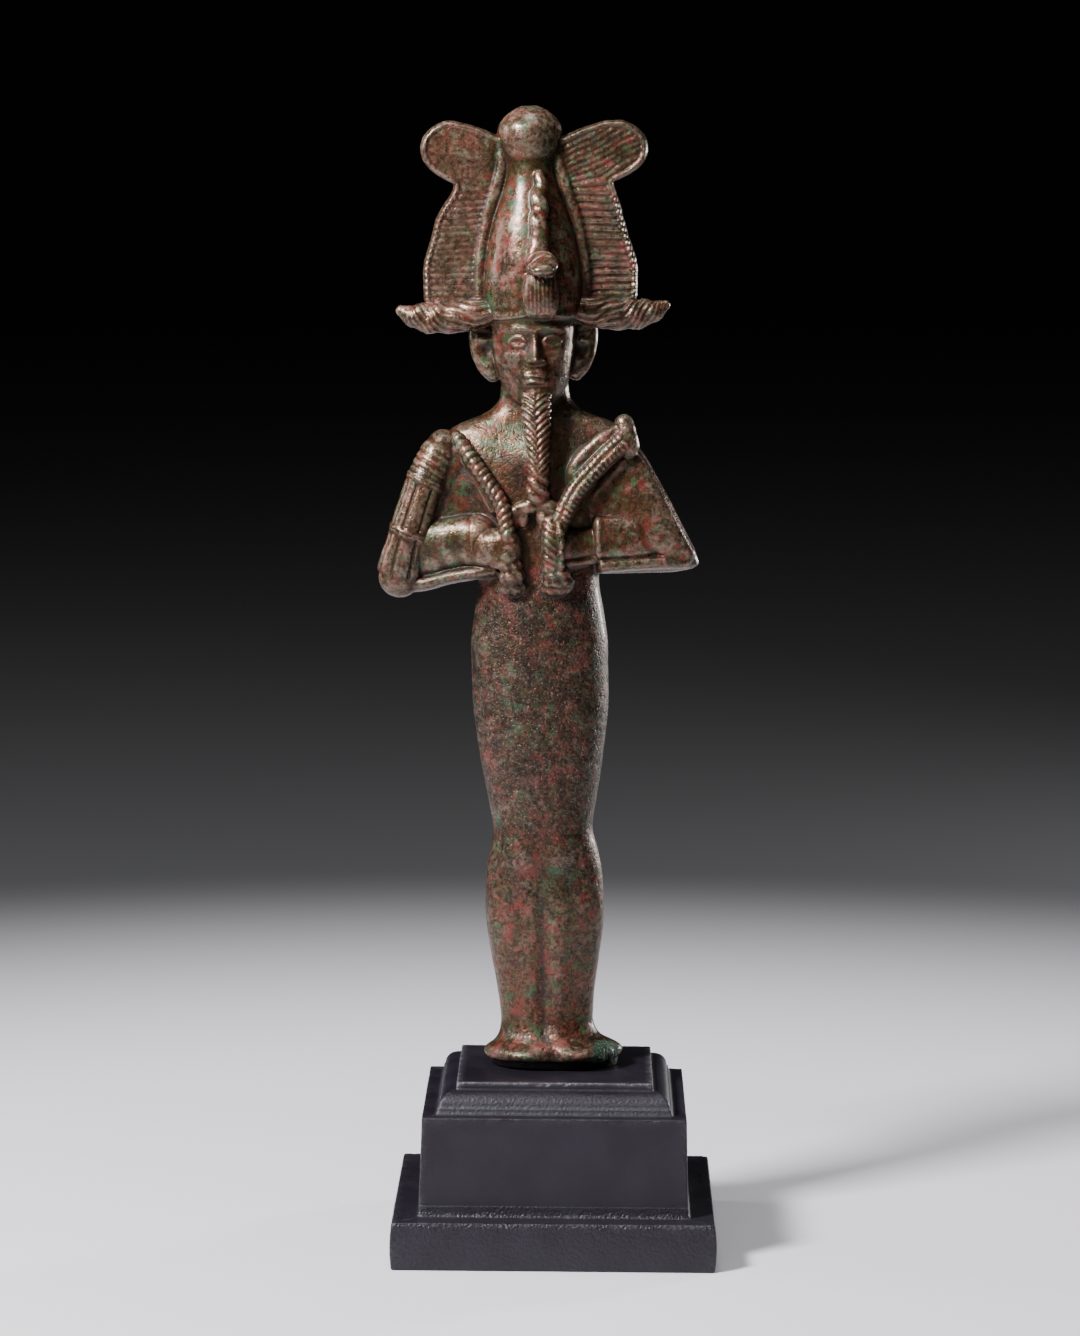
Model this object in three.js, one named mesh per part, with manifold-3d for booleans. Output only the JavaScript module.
// Small cast bronze figure of Osiris on a stepped, black painted wooden plinth.
// Millimetres, +Z up, the figure looks along -Y. The origin is the middle of the plinth's underside.

import * as THREE from 'three';
import Module from 'manifold-3d';

const wasm = await Module();
wasm.setup();

// Driving dimensions of the plinth, from the ground up.
const SLAB_WIDTH = 66;
const SLAB_HEIGHT = 9.9;
const SLAB_SWELL = 0.35;
const SLAB_ARRIS = 0.5;
const SLAB_STEP = 4.6;
const FOOT_COVE = 0.8;
const FOOT_COVE_HEIGHT = 1.7;
const DIE_HEIGHT = 20.45;
const DIE_TAPER = 0.5;
const LEDGE_STEP = 2.2;
const MOULDING_RUN = 4.6;
const MOULDING_HEIGHT = 4.6;
const MOULDING_HOLLOW = 1.4;
const PLATE_HEIGHT = 1.5;
const PLATE_BATTER = 0.4;
const ARRIS = 0.25;

// Driving dimensions of the figure.
const FIGURE_HEIGHT = 197.6;
const FIGURE_SHIFT = -1.65;
const FIGURE_LEAN_DEGREES = -1.5;
const HEAD_TURN_DEGREES = 2.5;
const STUB_HEIGHT = 1.9;
const STUB_HALF_WIDTH = 13;
const STUB_HALF_DEPTH = 7.3;
const STUB_SHIFT = 1.5;

// The figure is drawn in thousandths of its own height, in its own upright frame, and is brought
// to its real size once, at the end. Heights run from 0 at the soles to 1000 at the crown's knob.
const THOUSANDTH = FIGURE_HEIGHT / 1000;

// Faces round the sections: fine for the trunk, coarse for the small things it carries.
const TRUNK_SIDES = 32;
const HEAD_SIDES = 38;
const CROWN_SIDES = 28;
const LIMB_SIDES = 12;
const CORD_SIDES = 8;

// Thinning: faces kept on the figure, and what an edge may do to the faces round it.
const FIGURE_FACES = 9200;
const FACE_CARE = 6;
const LENGTH_COST = 0.002;
const LEAST_AGREEMENT = 0.3;
const LEAST_AREA = 0.02;

const BRONZE_COLOUR = 0x5b4636;
const BLACK_COLOUR = 0x1c1b20;

// Slope of one column of a table at one row, levelled where the column turns, so that nothing overshoots.
function slopeAt(table, row, column) {
  const rise = (a, b) => (table[b][column] - table[a][column]) / (table[b][0] - table[a][0]);
  if (row === 0) {
    return rise(0, 1);
  }
  if (row === table.length - 1) {
    return rise(row - 1, row);
  }
  const before = rise(row - 1, row);
  const after = rise(row, row + 1);
  return before * after <= 0 ? 0 : (2 * before * after) / (before + after);
}

// Every column of a table at the value t of its first column, on a smooth curve through the rows.
function readTable(table, t) {
  const top = table.length - 1;
  const held = Math.min(table[top][0], Math.max(table[0][0], t));
  let row = 0;
  while (row < top - 1 && table[row + 1][0] < held) {
    row += 1;
  }
  const span = table[row + 1][0] - table[row][0];
  const u = (held - table[row][0]) / span;
  const blendStart = (1 + 2 * u) * (1 - u) ** 2;
  const blendEnd = u * u * (3 - 2 * u);
  return table[row].map((start, column) => {
    if (column === 0) {
      return held;
    }
    const end = table[row + 1][column];
    const leaving = u * (1 - u) ** 2 * slopeAt(table, row, column);
    const arriving = u * u * (1 - u) * slopeAt(table, row + 1, column);
    return blendStart * start + blendEnd * end + span * (leaving - arriving);
  });
}

// Whole numbers from 0 to count, as shares of the count.
function shares(count) {
  return Array.from({ length: count + 1 }, (unused, index) => index / count);
}

// A soft hump of the given height and half width, 1 at its middle.
function hump(distance, halfWidth) {
  return Math.exp(-((distance / halfWidth) ** 2));
}

// One coordinate of a superellipse: a circle's cosine or sine, squared off by the power.
function squared(value, power) {
  return Math.sign(value) * Math.abs(value) ** (2 / power);
}

// The middle of a ring of points.
function middleOf(ring) {
  return ring.reduce((sum, point) => sum.add(point), new THREE.Vector3()).divideScalar(ring.length);
}

// A closed solid through rings of equal count, each counter-clockwise seen from the last ring's side.
function skin(rings) {
  const sides = rings[0].length;
  const points = rings.flat();
  points.push(middleOf(rings[0]), middleOf(rings[rings.length - 1]));
  const firstCap = points.length - 2;
  const lastCap = points.length - 1;
  const faces = [];
  rings.forEach((ring, level) => {
    const base = level * sides;
    for (let side = 0; side < sides; side += 1) {
      const a = base + side;
      const b = base + ((side + 1) % sides);
      if (level === 0) {
        faces.push(firstCap, b, a);
      }
      if (level === rings.length - 1) {
        faces.push(lastCap, a, b);
        continue;
      }
      faces.push(a, b, b + sides, a, b + sides, a + sides);
    }
  });
  const geometry = new THREE.BufferGeometry().setFromPoints(points);
  geometry.setIndex(faces);
  return geometry;
}

// The same form on the other side of the figure's middle plane, with its faces turned back outward.
function mirrored(geometry) {
  const copy = geometry.clone().scale(-1, 1, 1);
  const corners = Array.from(copy.getIndex().array);
  for (let corner = 0; corner < corners.length; corner += 3) {
    [corners[corner], corners[corner + 1]] = [corners[corner + 1], corners[corner]];
  }
  copy.setIndex(corners);
  return copy;
}

// A closed geometry as a solid that can be joined and cut.
function solidOf(geometry) {
  return new wasm.Manifold(new wasm.Mesh({
    numProp: 3,
    vertProperties: new Float32Array(geometry.getAttribute('position').array),
    triVerts: new Uint32Array(geometry.getIndex().array),
  }));
}

// A solid as a geometry again.
function geometryOf(solid) {
  const { vertProperties, triVerts } = solid.getMesh();
  const geometry = new THREE.BufferGeometry();
  geometry.setAttribute('position', new THREE.BufferAttribute(vertProperties, 3));
  geometry.setIndex(Array.from(triVerts));
  return geometry;
}

// Joins closed geometries into one.
function join(geometries) {
  return geometryOf(geometries.map(solidOf).reduce((sum, solid) => sum.add(solid)));
}

// Cuts one closed geometry out of another.
function cut(geometry, tool) {
  return geometryOf(solidOf(geometry).subtract(solidOf(tool)));
}

// Corner numbers of a geometry's faces, three by three.
function facesOf(geometry) {
  const corners = Array.from(geometry.getIndex().array);
  const count = corners.length / 3;
  return Array.from({ length: count }, (unused, face) => corners.slice(3 * face, 3 * face + 3));
}

// For each point, the faces that meet there.
function facesAtPoints(faces, pointCount) {
  const around = Array.from({ length: pointCount }, () => []);
  faces.forEach((face) => face.forEach((corner) => around[corner].push(face)));
  return around;
}

// The faces of the largest closed skin: the small voids shut in between joined forms are cast solid.
function outerSkin(faces, pointCount) {
  const around = facesAtPoints(faces, pointCount);
  const seen = new Set();
  let largest = [];
  faces.forEach((start) => {
    if (seen.has(start)) {
      return;
    }
    const part = [start];
    seen.add(start);
    for (let index = 0; index < part.length; index += 1) {
      part[index].forEach((corner) => around[corner].forEach((face) => {
        if (!seen.has(face)) {
          seen.add(face);
          part.push(face);
        }
      }));
    }
    if (part.length > largest.length) {
      largest = part;
    }
  });
  return largest;
}

// Twice the area vector of a triangle.
function areaVector(a, b, c) {
  return new THREE.Vector3().subVectors(b, a).cross(new THREE.Vector3().subVectors(c, a));
}

// The sum of squared distances to a set of planes, kept as ten numbers that can be added up.
function planeSum(normal, point, weight) {
  const [x, y, z] = normal.toArray();
  const w = -normal.dot(point);
  const products = [x * x, x * y, x * z, x * w, y * y, y * z, y * w, z * z, z * w, w * w];
  return products.map((value) => value * weight);
}

function distanceTo(sum, { x, y, z }) {
  return sum[0] * x * x + sum[4] * y * y + sum[7] * z * z + sum[9]
    + 2 * (sum[1] * x * y + sum[2] * x * z + sum[5] * y * z + sum[3] * x + sum[6] * y + sum[8] * z);
}

// One round of thinning: the edges whose loss moves the surface least are closed up, none of them
// neighbours.
function thinOnce(points, faces, sums, spare) {
  const around = facesAtPoints(faces, points.length);
  const edges = faces
    .flatMap((face) => face.map((a, index) => [a, face[(index + 1) % 3]]))
    .filter(([a, b]) => a < b);
  const choices = edges.map(([a, b]) => {
    const sum = sums[a].map((value, index) => value + sums[b][index]);
    const middle = new THREE.Vector3().addVectors(points[a], points[b]).multiplyScalar(0.5);
    const target = [middle, points[a], points[b]].reduce((best, point) =>
      (distanceTo(sum, point) < distanceTo(sum, best) ? point : best));
    const cost = distanceTo(sum, target) + LENGTH_COST * points[a].distanceToSquared(points[b]);
    return { a, b, sum, target: target.clone(), cost };
  });
  choices.sort((first, second) => first.cost - second.cost);
  const busy = new Set();
  let closed = 0;
  choices.slice(0, Math.ceil(choices.length / 6)).forEach(({ a, b, sum, target }) => {
    const ring = new Set([...around[a], ...around[b]].flat());
    if (closed >= spare || [...ring].some((point) => busy.has(point))) {
      return;
    }
    const beside = (point) => new Set(around[point].flat());
    const shared = [...beside(a)].filter((point) => beside(b).has(point) && point !== a && point !== b);
    const moved = [...around[a], ...around[b]].filter((face) => !(face.includes(a) && face.includes(b)));
    const placeOf = (point) => (point === a || point === b ? target : points[point]);
    const turns = moved.some((face) => {
      const before = areaVector(...face.map((point) => points[point]));
      const after = areaVector(...face.map(placeOf));
      const least = LEAST_AGREEMENT * before.length() * after.length();
      return before.dot(after) < least || after.length() < LEAST_AREA;
    });
    if (shared.length !== 2 || turns) {
      return;
    }
    points[a].copy(target);
    sums[a] = sum;
    around[b].forEach((face) => face.splice(face.indexOf(b), 1, a));
    ring.forEach((point) => busy.add(point));
    closed += 1;
  });
  return faces.filter((face) => new Set(face).size === 3);
}

// How much a moved point counts while thinning: the face keeps its small forms.
function careAt(point) {
  return point.y < -25 && point.z > 696 && point.z < 782 && Math.abs(point.x) < 42 ? FACE_CARE : 1;
}

// Thins a closed geometry to a number of faces, keeping its form.
function thinned(geometry, faceTarget) {
  const positions = geometry.getAttribute('position');
  const points = Array.from({ length: positions.count }, (unused, index) =>
    new THREE.Vector3().fromBufferAttribute(positions, index));
  let faces = outerSkin(facesOf(geometry), points.length);
  const sums = points.map(() => new Array(10).fill(0));
  faces.forEach((face) => {
    const corners = face.map((point) => points[point]);
    const normal = areaVector(...corners);
    const area = normal.length();
    const sum = planeSum(normal.normalize(), corners[0], area * careAt(corners[0]));
    face.forEach((point) => sum.forEach((value, index) => { sums[point][index] += value; }));
  });
  for (let before = Infinity; faces.length > faceTarget && faces.length < before;) {
    before = faces.length;
    faces = thinOnce(points, faces, sums, (faces.length - faceTarget) / 2);
  }
  const used = [...new Set(faces.flat())];
  const numbers = new Map(used.map((point, index) => [point, index]));
  const result = new THREE.BufferGeometry().setFromPoints(used.map((point) => points[point]));
  result.setIndex(faces.flat().map((point) => numbers.get(point)));
  return result;
}

// An upright solid whose level sections are superellipses. Table rows are
// [height, half width, front depth, back depth, power, place of the middle from side to side];
// relief gives how far a front point stands out.
function upright(table, heights, sides, relief = () => 0) {
  return skin(heights.map((height) => {
    const [, halfWidth, front, back, power, middle = 0] = readTable(table, height);
    return Array.from({ length: sides }, (unused, side) => {
      const angle = (2 * Math.PI * side) / sides;
      const x = middle + halfWidth * squared(Math.cos(angle), power);
      const share = squared(Math.sin(angle), power);
      const y = share > 0 ? back * share : front * share + share * relief(x, height);
      return new THREE.Vector3(x, y, height);
    });
  }));
}

// An oval section carried along a path, with domed ends. Size rows are
// [share of the path, half width across the path, half depth front to back].
function limb(path, sizes, { sides = LIMB_SIDES, steps = 8, dome = 2, power = 2, relief = () => 1 } = {}) {
  const curve = new THREE.CatmullRomCurve3(path.map((point) => new THREE.Vector3(...point)));
  const ring = (share, shrink, push) => {
    const tangent = curve.getTangentAt(share);
    const front = new THREE.Vector3(0, -1, 0).addScaledVector(tangent, tangent.y).normalize();
    const across = new THREE.Vector3().crossVectors(front, tangent);
    const [, halfWidth, halfDepth] = readTable(sizes, share);
    const centre = curve.getPointAt(share).addScaledVector(tangent, push * Math.min(halfWidth, halfDepth));
    return Array.from({ length: sides }, (unused, side) => {
      const angle = (2 * Math.PI * (side + 0.5)) / sides;
      const swell = shrink * relief(share, angle);
      return centre.clone()
        .addScaledVector(across, halfWidth * swell * squared(Math.cos(angle), power))
        .addScaledVector(front, halfDepth * swell * squared(Math.sin(angle), power));
    });
  };
  const tip = (index) => (Math.PI / 2) * ((index + 0.45) / (dome + 0.45));
  const tips = Array.from({ length: dome }, (unused, index) => tip(index));
  return skin([
    ...tips.map((angle) => ring(0, Math.sin(angle), -Math.cos(angle))),
    ...shares(steps).map((share) => ring(share, 1, 0)),
    ...tips.reverse().map((angle) => ring(1, Math.sin(angle), Math.cos(angle))),
  ]);
}

// The plinth is one square stack of steps: half width and height of each turn of its profile.
function plinthProfile() {
  const slab = SLAB_WIDTH / 2;
  const dieFoot = slab - SLAB_STEP - FOOT_COVE;
  const dieHead = dieFoot - DIE_TAPER;
  const mouldFoot = dieHead - LEDGE_STEP;
  const plate = mouldFoot - MOULDING_RUN;
  const dieBase = SLAB_HEIGHT;
  const ledge = dieBase + DIE_HEIGHT;
  const round = ledge + MOULDING_HOLLOW;
  const plateFoot = ledge + MOULDING_HEIGHT;
  const profile = shares(4).map((t) => [
    slab + SLAB_SWELL * Math.sin(Math.PI * t),
    t * (SLAB_HEIGHT - SLAB_ARRIS),
  ]);
  profile.push([slab - SLAB_ARRIS, SLAB_HEIGHT]);
  const quarter = shares(3).map((t) => (t * Math.PI) / 2);
  quarter.forEach((angle) => profile.push([
    dieFoot + FOOT_COVE * (1 - Math.sin(angle)),
    dieBase + FOOT_COVE_HEIGHT * (1 - Math.cos(angle)),
  ]));
  profile.push([dieHead, ledge - ARRIS], [dieHead - ARRIS, ledge]);
  const hollow = mouldFoot - MOULDING_RUN / 5;
  quarter.forEach((angle) => profile.push([
    hollow + (mouldFoot - hollow) * (1 - Math.sin(angle)),
    ledge + MOULDING_HOLLOW * (1 - Math.cos(angle)),
  ]));
  const roundRun = hollow - plate - PLATE_BATTER;
  shares(5).slice(1).map((t) => (t * Math.PI) / 2).forEach((angle) => profile.push([
    plate + PLATE_BATTER + roundRun * Math.cos(angle),
    round + (plateFoot - round) * Math.sin(angle),
  ]));
  profile.push([plate + PLATE_BATTER / 2, plateFoot + PLATE_HEIGHT - ARRIS]);
  profile.push([plate + PLATE_BATTER / 2 - ARRIS, plateFoot + PLATE_HEIGHT]);
  return profile;
}

const PLINTH_TOP = SLAB_HEIGHT + DIE_HEIGHT + MOULDING_HEIGHT + PLATE_HEIGHT;

// Carries the profile round the four sides, with each upright corner cut back a little.
function plinthSolid() {
  return skin(plinthProfile().map(([half, height]) => {
    const corners = [[1, -1], [1, 1], [-1, 1], [-1, -1]];
    return corners.flatMap(([x, y], index) => {
      const cut = half - ARRIS;
      const first = index % 2 === 0 ? [x * cut, y * half] : [x * half, y * cut];
      const second = index % 2 === 0 ? [x * half, y * cut] : [x * cut, y * half];
      return [first, second].map(([px, py]) => new THREE.Vector3(px, py, height));
    });
  }));
}

// Feet, shroud, chest and neck in one:
// [height, half width, front, back, power, place of the middle]. The slab under the feet leans out
// further on the figure's left.
const TRUNK = [
  [0, 67, 45, 36, 2.4, 6],
  [2.5, 72, 48.5, 38, 2.4, 6],
  [7, 73, 50, 39, 2.4, 6],
  [11.5, 69.5, 48, 38, 2.4, 5],
  [16, 62, 43.5, 37, 2.4, 4],
  [21, 55.5, 37.5, 35, 2.3, 2],
  [28, 51, 32.5, 33.5, 2.2, 1],
  [40, 48.5, 29, 32, 2.2, 0],
  [60, 50, 28, 32, 2.15, 0],
  [100, 56, 30, 36, 2.15, 0],
  [130, 60.5, 33, 39, 2.15, 0],
  [163, 63, 35, 40, 2.15, 0],
  [200, 61, 35.5, 37, 2.15, 0],
  [225, 56, 37, 33.5, 2.15, 0],
  [243, 52.3, 38, 31.5, 2.15, 0],
  [272, 56.5, 39.5, 32.5, 2.15, 0],
  [320, 64.5, 42.5, 36, 2.15, 0],
  [385, 71.5, 45, 41.5, 2.15, 0],
  [435, 72, 46.5, 44.5, 2.15, 0],
  [472, 68, 46.5, 43, 2.15, 0],
  [505, 64, 45.5, 38.5, 2.3, 0],
  [545, 68, 43, 35, 2.5, 0],
  [590, 78, 40, 34, 2.6, 0],
  [630, 88, 35, 33, 2.7, 0],
  [650, 95, 30, 31, 2.8, 0],
  [663, 92, 25, 28, 2.8, 0],
  [672, 78, 22, 25, 2.6, 0],
  [680, 58, 21, 24, 2.4, 0],
  [688, 44, 21.5, 25, 2.2, 0],
  [698, 37, 23, 28, 2.1, 0],
  [712, 35, 25, 30, 2.1, 0],
];

// The soft groove between the shins, and the shins themselves.
function shinRelief(x, height) {
  const along = hump(height - 95, 85);
  const groove = 3.2 * hump(x + 3, 8);
  const shins = 1.6 * (hump(x + 20, 9) + hump(x - 14, 9));
  return along * (shins - groove);
}

function trunk() {
  const middles = TRUNK.slice(1).map((row, index) => (row[0] + TRUNK[index][0]) / 2);
  const long = middles.filter((height) => height > 300 && height < 640);
  const heights = [...TRUNK.map((row) => row[0]), ...long].sort((a, b) => a - b);
  return upright(TRUNK, heights, TRUNK_SIDES, shinRelief);
}

// The shroud drawn over both arms: a flat shield from the shoulders down to the elbows.
const CLOAK = [
  [508, 146, 20, 19, 4],
  [511, 162, 24, 22, 4],
  [519, 168.5, 26, 24, 4],
  [531, 166, 27, 25, 4],
  [555, 155, 27, 26, 4],
  [597, 134.5, 27, 26, 4],
  [636, 113, 24, 26, 4],
  [652, 101, 19, 24, 3.5],
  [662, 88, 14, 19, 3],
];

function cloak() {
  return upright(CLOAK, CLOAK.map((row) => row[0]), 20);
}

// Upper arm and forearm of one side, with the hem that hangs below the forearm.
const SHOULDER = [80, -1, 643];
const ELBOW = [138, -6, 540];
const CUFF = [60, -26, 553];
const UPPER_ARM_SIZE = [[0, 22, 25], [0.5, 22, 25], [1, 21, 23]];
const FOREARM_SIZE = [[0, 20, 21], [0.4, 26, 24], [1, 25, 25]];
const HEM_SIZE = [[0, 12, 19], [1, 13, 25]];

function upperArm() {
  return limb([SHOULDER, ELBOW], UPPER_ARM_SIZE, { steps: 3 });
}

// A sleeve ends square at the cuff. The drop lowers the outer end of the forearm and its hem.
function forearm(drop) {
  const sleeve = limb([[134, -7, 542 - drop / 3], [100, -17, 556], CUFF], FOREARM_SIZE,
    { steps: 4, dome: 1, power: 2.4 });
  const hem = limb([[150, -6, 522 - drop], [100, -12, 521 - drop / 2], [66, -17, 521]], HEM_SIZE,
    { sides: 8, steps: 4, dome: 1, power: 3 });
  return join([sleeve, hem]);
}

// On the crook's side the shroud is drawn tight from the shoulder to the forearm, in one flat face.
const TIGHT_PATH = [[152, -10, 530], [126, -17, 557], [98, -23, 585], [74, -27, 606]];
const TIGHT_SIZE = [[0, 11, 17], [0.3, 23, 17], [0.7, 38, 15], [1, 47, 12]];

function tightShroud() {
  return limb(TIGHT_PATH, TIGHT_SIZE, { steps: 6, dome: 1, power: 3.2 });
}

// Both hands are closed fists that come out of the cuffs, one finger above the other.
const FINGER_COUNT = 4;
const FINGER_PITCH = 11.2;
const FINGER_SIZE = [[0, 6.2, 6.5], [0.7, 6.2, 6.5], [1, 5, 5]];
const FINGER_LOW = 527;
const THUMB_SIZE = [[0, 6, 7], [1, 5, 6]];

function fingers(knuckle, tip) {
  return Array.from({ length: FINGER_COUNT }, (unused, index) => {
    const height = FINGER_LOW + FINGER_PITCH * index;
    const middle = [(knuckle[0] + tip[0]) / 2, Math.min(knuckle[1], tip[1]) - 3, height];
    const path = [[...knuckle, height], middle, [...tip, height]];
    return limb(path, FINGER_SIZE, { sides: 6, steps: 3, dome: 1 });
  });
}

function flailHand() {
  const palm = limb([[-66, -28, 546], [-46, -42, 545], [-24, -49, 544]],
    [[0, 19, 16], [0.4, 21, 16], [1, 21, 14]], { steps: 4, dome: 1, power: 2.6 });
  const thumb = limb([[-50, -50, 566], [-34, -57, 569], [-18, -57, 568]], THUMB_SIZE,
    { sides: 6, steps: 3, dome: 1 });
  return join([palm, thumb, ...fingers([-40, -53], [-13, -56])]);
}

function crookHand() {
  const wrist = limb([[66, -28, 545], [45, -36, 543], [24, -46, 543]],
    [[0, 18, 15], [0.5, 16, 14], [1, 19, 13]], { steps: 3, dome: 1, power: 2.6 });
  const thumb = limb([[34, -46, 566], [20, -55, 570], [6, -57, 568]], THUMB_SIZE,
    { sides: 6, steps: 3, dome: 1 });
  return join([wrist, thumb, ...fingers([30, -50], [4, -58])]);
}

// Ribs round a cord or shaft: the section swells and draws in, rib after rib.
function ribbed(count, depth) {
  return (share) => 1 + depth * Math.cos(2 * Math.PI * count * share);
}

const HANDLE_RIBS = 14;
const HANDLE_PATH = [
  [-27, -52, 562],
  [-37, -47, 591],
  [-51, -43, 614],
  [-66, -38, 636],
  [-81, -28, 660],
];
const HANDLE_SIZE = [[0, 8, 8], [1, 7.2, 7.5]];
const SHAFT_RIBS = 12;

// The flail: a ribbed handle that leans from the fist to the shoulder, with its butt below the fist.
function flailHandle() {
  const handle = limb(HANDLE_PATH, HANDLE_SIZE,
    { sides: CORD_SIDES, steps: HANDLE_RIBS * 2, dome: 1, relief: ribbed(HANDLE_RIBS, 0.12) });
  const strap = limb([[-50, -38, 590], [-63, -36, 609], [-80, -30, 634]], [[0, 3.5, 6], [1, 3, 5]],
    { sides: 6, steps: 4, dome: 1 });
  const butt = limb([[-28, -52, 530], [-27, -52, 512], [-27, -52, 502]],
    [[0, 9, 9], [0.6, 12, 11], [1, 15, 12]], { steps: 3, dome: 1 });
  return join([handle, strap, butt]);
}

// Seen round the arm, the flail's three strands are three rounded lobes with grooves between them.
function strandLobes(share, angle) {
  const spread = (angle - Math.PI / 2) / (Math.PI * 0.36);
  const inBundle = Math.abs(spread) < 1.5 ? 1 : 0;
  const bands = share > 0.3 && share < 0.95 ? 1 : 0;
  return 1 - 0.05 * inBundle * bands * (1 - Math.abs(Math.cos((Math.PI * spread))));
}

// The flail's strands hang over the upper arm: ribs at the shoulder, a band, strands, a band, strands.
const BUNDLE_PATH = [[-96, -8, 650], [-111, -13, 620], [-130.5, -16, 566], [-145, -14, 513]];
const BUNDLE_SIZE = [
  [0, 17, 18],
  [0.06, 20, 21],
  [0.12, 19, 20],
  [0.18, 21, 22.5],
  [0.24, 19.5, 21.5],
  [0.29, 23, 24.5],
  [0.34, 21, 23],
  [0.62, 21.5, 23],
  [0.66, 23, 24],
  [0.7, 21.5, 23],
  [0.92, 24, 23],
  [1, 22, 21],
];

function flailStrands() {
  return limb(BUNDLE_PATH, BUNDLE_SIZE, { sides: 18, steps: 26, dome: 2, power: 2.3, relief: strandLobes });
}

// The crook: a knobbed shaft from below the fist to its thick head on the shoulder.
const SHAFT_PATH = [
  [22, -50, 562],
  [38, -46, 591],
  [52, -43, 611],
  [66, -39, 626],
  [80, -35, 641],
  [93, -33, 655],
];
const CROOK_HEAD = [[94, -31, 646], [91, -32, 660], [89, -31, 669]];

function crook() {
  const shaft = limb(SHAFT_PATH, [[0, 8.5, 9], [0.75, 8.5, 9], [1, 12.5, 11]],
    { sides: CORD_SIDES, steps: SHAFT_RIBS * 2, dome: 1, relief: ribbed(SHAFT_RIBS, 0.09) });
  const head = limb(CROOK_HEAD, [[0, 14, 13], [0.6, 11, 10], [1, 9.5, 9]], { steps: 3 });
  const foot = limb([[17, -52, 525], [20, -52, 508], [20, -52, 499]],
    [[0, 10, 10], [0.6, 14, 12], [1, 17, 13]], { steps: 3, dome: 1 });
  return join([shaft, head, foot]);
}

// The rim of the shroud that arches from one fist to the other.
function collarRim() {
  return limb([[-24, -42, 566], [-20, -45, 582], [-4, -46, 588], [16, -46, 587], [26, -45, 576]],
    [[0, 5.5, 6], [1, 5.5, 6]], { sides: 8, steps: 8, dome: 1 });
}

// Skull and jaw: [height, half width, front, back, power].
const HEAD = [
  [688, 15, 35, 20, 2],
  [693, 22, 40.5, 24, 2.1],
  [700, 28, 43.5, 28, 2.2],
  [709, 33, 45, 33, 2.3],
  [722, 38, 46, 38, 2.3],
  [740, 42, 46.5, 43, 2.3],
  [760, 44.5, 47, 46, 2.2],
  [780, 45.5, 48, 47, 2.2],
  [790, 45, 47, 46, 2.2],
];

// Places on the face, by the usual thirds of a face and an eye's width between the eyes.
const EYE = { x: 18, z: 757, halfWidth: 9, halfHeight: 4.6 };
const BROW = { z: 769, inner: 6, outer: 33 };
const NOSE = { bridge: 766, tip: 739, base: 732.5 };
const MOUTH = { z: 720, halfWidth: 13.5 };
const CHIN = { z: 701, halfWidth: 13 };

// How far each point of the face stands out of the smooth head.
function faceRelief(x, z) {
  const side = Math.abs(x);
  const noseShare = Math.min(1, Math.max(0, (NOSE.bridge - z) / (NOSE.bridge - NOSE.tip)));
  const under = z < NOSE.tip ? Math.max(0, 1 - ((NOSE.tip - z) / (NOSE.tip - NOSE.base)) ** 2) : 1;
  const nose = under * (3 + 11 * noseShare) * hump(x, 4.5 + 3 * noseShare) * (z < NOSE.bridge + 6 ? 1 : 0);
  const wings = 5 * hump(side - 7, 3.5) * hump(z - NOSE.tip + 2, 4.5);
  const socket = -4 * hump(side - EYE.x, EYE.halfWidth * 1.3) * hump(z - EYE.z, EYE.halfHeight * 1.8);
  const ball = 3.4 * hump(side - EYE.x, EYE.halfWidth * 0.8) * hump(z - EYE.z, EYE.halfHeight * 0.85);
  const arch = BROW.z + 2.5 * Math.cos((side - EYE.x) / 11);
  const browSpan = hump(Math.max(0, side - BROW.outer) + Math.max(0, BROW.inner - side), 5);
  const brow = 2.2 * browSpan * hump(z - arch, 3.4);
  const lipSpan = Math.max(0, 1 - (side / MOUTH.halfWidth) ** 2);
  const upperLip = 4 * lipSpan * hump(z - MOUTH.z - 3, 3.2);
  const lowerLip = 4.4 * lipSpan * hump(z - MOUTH.z + 4, 3.6);
  const chin = 3 * hump(x, CHIN.halfWidth) * hump(z - CHIN.z, 8);
  const cheek = 1.5 * hump(side - 23, 11) * hump(z - 738, 12);
  return -(nose + wings + socket + ball + brow + upperLip + lowerLip + chin + cheek);
}

// The face's columns stand close together in front and far apart behind.
function head() {
  const heights = [...shares(21).map((t) => 688 + 96 * t), 790];
  return skin(heights.map((height) => {
    const [, halfWidth, front, back, power] = readTable(HEAD, height);
    return Array.from({ length: HEAD_SIDES }, (unused, side) => {
      const turn = (2 * Math.PI * side) / HEAD_SIDES;
      const angle = -Math.PI / 2 + turn - 0.62 * Math.sin(turn);
      const x = halfWidth * squared(Math.cos(angle), power);
      const share = squared(Math.sin(angle), power);
      const y = share > 0 ? back * share : front * share + share ** 2 * faceRelief(x, height);
      return new THREE.Vector3(x, y, height);
    });
  }));
}

// An ear: a flattened oval shell that leans out at the top, with its hollow cut in.
function ear() {
  const shell = limb([[43, -5, 722], [49, -3, 734], [55, -1, 747], [59.5, 0, 760], [57, 2, 771]],
    [[0, 6, 7], [0.3, 8, 11], [0.65, 10.5, 15], [0.85, 11, 15], [1, 8, 11]], { sides: 12, steps: 7 });
  const hollow = limb([[55, -19, 735], [61, -19, 747], [64.5, -17, 759]],
    [[0, 3, 6], [0.5, 5.5, 10], [1, 4, 8]], { sides: 8, steps: 3, dome: 1 });
  return cut(shell, hollow);
}

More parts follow.
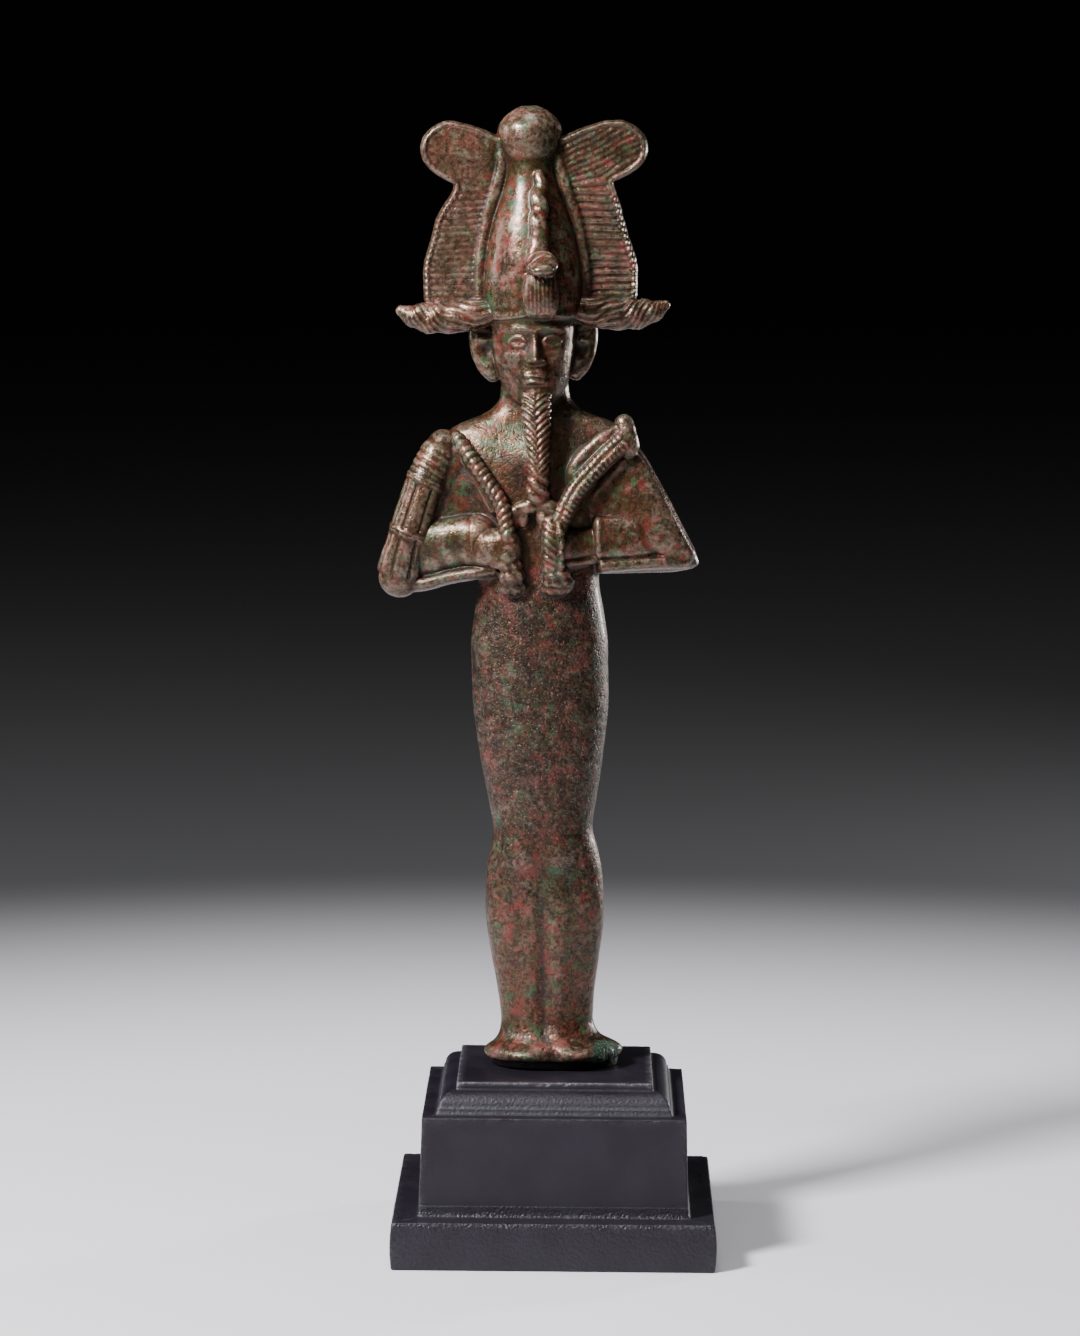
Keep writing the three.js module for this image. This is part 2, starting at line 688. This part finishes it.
// Crown, from the nape up to the knob: [height, radius].
const CROWN = [
  [706, 34],
  [730, 42],
  [756, 48],
  [781, 54],
  [799, 56.5],
  [817, 57],
  [838, 55.5],
  [858, 52],
  [878, 47],
  [893, 41.5],
  [909, 35.5],
  [924, 30],
  [936, 24.5],
  [943, 23.5],
  [950, 26.5],
  [959, 31],
  [968, 33],
  [979, 31.6],
  [988, 26.5],
  [995, 19],
  [1000, 9],
];
const CROWN_BROW = 781;
const CROWN_NAPE = 712;
const CROWN_LEVEL = 799;
const CROWN_BACK_SWELL = 1.02;

function crownRadius(height) {
  return readTable(CROWN, height)[1];
}

// Height of the crown's lower edge: level over the brow and ears, then down to the nape.
function crownEdge(angle) {
  const behind = Math.max(0, Math.sin(angle) + 0.1) / 1.1;
  return CROWN_BROW - (CROWN_BROW - CROWN_NAPE) * (behind ** 0.6);
}

function crown() {
  const lower = shares(3).map((t) => ({ share: t, height: CROWN_LEVEL }));
  const upper = [808, 817, ...CROWN.map((row) => row[0]).filter((height) => height > 820)];
  const rows = [...lower, ...upper.map((height) => ({ share: 1, height }))];
  return skin(rows.map(({ share, height }) => Array.from({ length: CROWN_SIDES }, (unused, side) => {
    const angle = (2 * Math.PI * side) / CROWN_SIDES;
    const edge = crownEdge(angle);
    const z = edge + (height - edge) * share;
    const radius = crownRadius(z);
    const y = radius * Math.sin(angle) * (angle < Math.PI ? CROWN_BACK_SWELL : 1);
    return new THREE.Vector3(radius * Math.cos(angle), y, z);
  })));
}

// Outline of a plume at each height: [height, inner edge, outer edge].
const PLUME = [
  [790, 30, 101],
  [797, 35, 109],
  [803, 35, 111.5],
  [828, 35, 111.5],
  [840, 34, 110],
  [853, 32, 106],
  [865, 30, 102],
  [886, 28, 96],
  [899, 26, 91],
  [911, 20, 85],
  [919, 18, 82.5],
  [923, 16, 90],
  [928, 15, 100],
  [935, 14, 109],
  [944, 14, 115],
  [955, 18, 117.5],
  [966, 24, 116],
  [975, 38, 111],
  [982, 56, 103],
  [987.5, 78, 90],
];
const LOBE_SHARE_ON_FLAIL_SIDE = 0.965;
const BARB_PITCH = 7.4;
const BARB_DEPTH = 1.4;
const PLUME_FRONT = 9.5;
const PLUME_BACK = 8;
const RIM_WIDTH = 7.5;
const RIM_PROUD = 2.6;
const PLUME_DRIFT = 3;

// A plume is a flat feather with a raised rim and level barbs, and its tip curls outward in a lobe.
function plume(lobeShare) {
  const first = PLUME[0][0];
  const last = PLUME[PLUME.length - 1][0];
  const count = Math.round((last - first) / (BARB_PITCH / 2));
  return skin(shares(count).map((t, level) => {
    const height = first + (last - first) * t;
    const [, inner, full] = readTable(PLUME, height);
    const outer = full * (1 - (1 - lobeShare) * Math.min(1, Math.max(0, (height - 910) / 30)));
    const rim = Math.min(RIM_WIDTH, (outer - inner) / 3);
    const barb = PLUME_FRONT + (level % 2 === 0 ? BARB_DEPTH : 0) - BARB_DEPTH;
    const drift = (PLUME_DRIFT * (height - first)) / (last - first);
    const section = [
      [inner, PLUME_BACK],
      [inner, -barb],
      [outer - rim - 2, -barb],
      [outer - rim, -PLUME_FRONT - RIM_PROUD * 0.7],
      [outer - rim / 3, -PLUME_FRONT - RIM_PROUD],
      [outer, -PLUME_FRONT * 0.5],
      [outer, PLUME_BACK * 0.4],
      [outer - rim / 2, PLUME_BACK],
    ];
    return section.map(([x, y]) => new THREE.Vector3(x + drift, y, height));
  }));
}

// The smooth quill between a plume and the crown.
function quill() {
  const path = [800, 820, 845, 870, 895, 915, 930].map((height) => [crownRadius(height) + 4, -7, height]);
  return limb(path, [[0, 5, 6], [0.6, 5, 6], [1, 3.5, 4]], { sides: 8, steps: 10, dome: 1 });
}

// A level ram's horn with slanting ribs, turned up at its tip.
const HORN_RIBS = 11;
const HORN_PATH = [
  [34, -14, 789],
  [60, -13, 786],
  [85, -11, 782.5],
  [108, -9, 783],
  [126, -8, 786],
  [138, -8, 791.5],
];
const HORN_SIZE = [[0, 12, 14], [0.3, 16, 14], [0.7, 16, 13], [0.88, 11.5, 10], [1, 5.5, 5]];

function horn() {
  return limb(HORN_PATH, HORN_SIZE,
    { sides: 10, steps: HORN_RIBS * 2, dome: 1, relief: ribbed(HORN_RIBS, 0.045) });
}

// The cobra on the crown: a wavy body, a spread hood with upright grooves, and the head.
// Body rows are [side, proud of the crown, height]; hood rows are [height, half width, proud].
const COBRA_BODY = [[6, 9, 838], [3, 5, 856], [4, 3, 878], [7, 3, 900], [5, 2, 920], [4, 1, 932]];
const COBRA_HOOD = [
  [782, 10, 3],
  [786, 14, 8],
  [793, 16.5, 12],
  [805, 17, 14.5],
  [816, 15.5, 15],
  [826, 13, 14],
];
const COBRA_SIDES = 16;
const COBRA_ROOT = -48;
const COBRA_SIDE = 3;

function uraeus() {
  const front = (height, proud) => -crownRadius(height) - proud;
  const body = limb(COBRA_BODY.map(([side, proud, height]) => [side, front(height, proud), height]),
    [[0, 9, 8], [0.5, 8.5, 7], [1, 6, 5]], { sides: 8, steps: 10, dome: 1 });
  const hoodRing = ([height, halfWidth, proud]) => Array.from({ length: COBRA_SIDES }, (unused, side) => {
    const angle = (2 * Math.PI * side) / COBRA_SIDES;
    const groove = 0.8 * Math.cos(8 * (angle - Math.PI * 1.5));
    const swell = (front(height, proud + groove) - COBRA_ROOT) * squared(-Math.sin(angle), 3);
    const depth = Math.sin(angle) < 0 ? swell : 6 * Math.sin(angle);
    return new THREE.Vector3(
      COBRA_SIDE + halfWidth * squared(Math.cos(angle), 2.6),
      COBRA_ROOT + depth,
      height,
    );
  });
  const hood = skin(COBRA_HOOD.map(hoodRing));
  const snakeHead = limb([[COBRA_SIDE, -58, 832], [COBRA_SIDE, -70, 835], [COBRA_SIDE, -82, 832]],
    [[0, 13, 9], [0.5, 14.5, 9], [1, 10, 6.5]], { steps: 4 });
  return join([body, hood, snakeHead]);
}

// The long plaited beard: chevrons down its front and a tip that turns forward.
const BEARD_PLAITS = 15;
const BEARD_PATH = [
  [0, -38, 703],
  [0, -46, 682],
  [0, -49.5, 655],
  [0, -51, 628],
  [0, -54, 608],
  [0, -58, 599],
];
const BEARD_SIZE = [
  [0, 17.5, 9],
  [0.25, 16.5, 9.5],
  [0.6, 13.5, 9.5],
  [0.86, 11.5, 9],
  [0.94, 15, 9],
  [1, 12, 8],
];

function beard() {
  const plait = (share, angle) => {
    const slant = 0.5 * Math.abs(Math.cos(angle));
    return 1 + 0.07 * Math.cos(2 * Math.PI * (BEARD_PLAITS * share + slant));
  };
  return limb(BEARD_PATH, BEARD_SIZE, { sides: 12, steps: BEARD_PLAITS * 2, dome: 1, relief: plait });
}

// Head, crown and all that they carry look a little to the figure's left.
function headGroup() {
  const sides = [ear(), quill(), horn()];
  const plumes = [plume(1), mirrored(plume(LOBE_SHARE_ON_FLAIL_SIDE))];
  const parts = [head(), crown(), uraeus(), beard(), ...plumes, ...sides, ...sides.map(mirrored)];
  return join(parts).rotateZ(THREE.MathUtils.degToRad(HEAD_TURN_DEGREES));
}

function bodyGroup() {
  const flail = [flailHandle(), flailStrands(), flailHand()];
  const bothSides = [upperArm(), mirrored(upperArm()), forearm(0), mirrored(forearm(14))];
  const crookSide = [tightShroud(), crookHand(), crook()];
  return join([trunk(), cloak(), ...bothSides, ...flail, ...crookSide, collarRim()]);
}

// The low oval stub under the soles carries the figure a little above the plinth's plate.
function stub() {
  const rings = [PLINTH_TOP, PLINTH_TOP + STUB_HEIGHT * 2];
  const middle = FIGURE_SHIFT + STUB_SHIFT;
  return skin(rings.map((height) => Array.from({ length: 28 }, (unused, side) => {
    const angle = (2 * Math.PI * side) / 28;
    return new THREE.Vector3(
      middle + STUB_HALF_WIDTH * Math.cos(angle),
      STUB_HALF_DEPTH * Math.sin(angle),
      height,
    );
  })));
}

// The whole figure, brought to its size, leaned and stood over the plate.
function figureSolid() {
  const figure = thinned(join([bodyGroup(), headGroup()]), FIGURE_FACES)
    .scale(THOUSANDTH, THOUSANDTH, THOUSANDTH)
    .rotateY(THREE.MathUtils.degToRad(FIGURE_LEAN_DEGREES))
    .translate(FIGURE_SHIFT, 0, PLINTH_TOP + STUB_HEIGHT);
  return join([figure, stub()]);
}

function nodeOf(geometry, name, material) {
  geometry.computeVertexNormals();
  const mesh = new THREE.Mesh(geometry, material);
  mesh.name = name;
  return mesh;
}

function bronze() {
  return new THREE.MeshStandardMaterial({ color: BRONZE_COLOUR, roughness: 0.42, metalness: 0.75 });
}

function blackPaint() {
  return new THREE.MeshStandardMaterial({ color: BLACK_COLOUR, roughness: 0.5, metalness: 0 });
}

const osiris = new THREE.Group();
osiris.add(nodeOf(plinthSolid(), 'plinth', blackPaint()));
osiris.add(nodeOf(figureSolid(), 'osiris_figure', bronze()));

export default osiris;
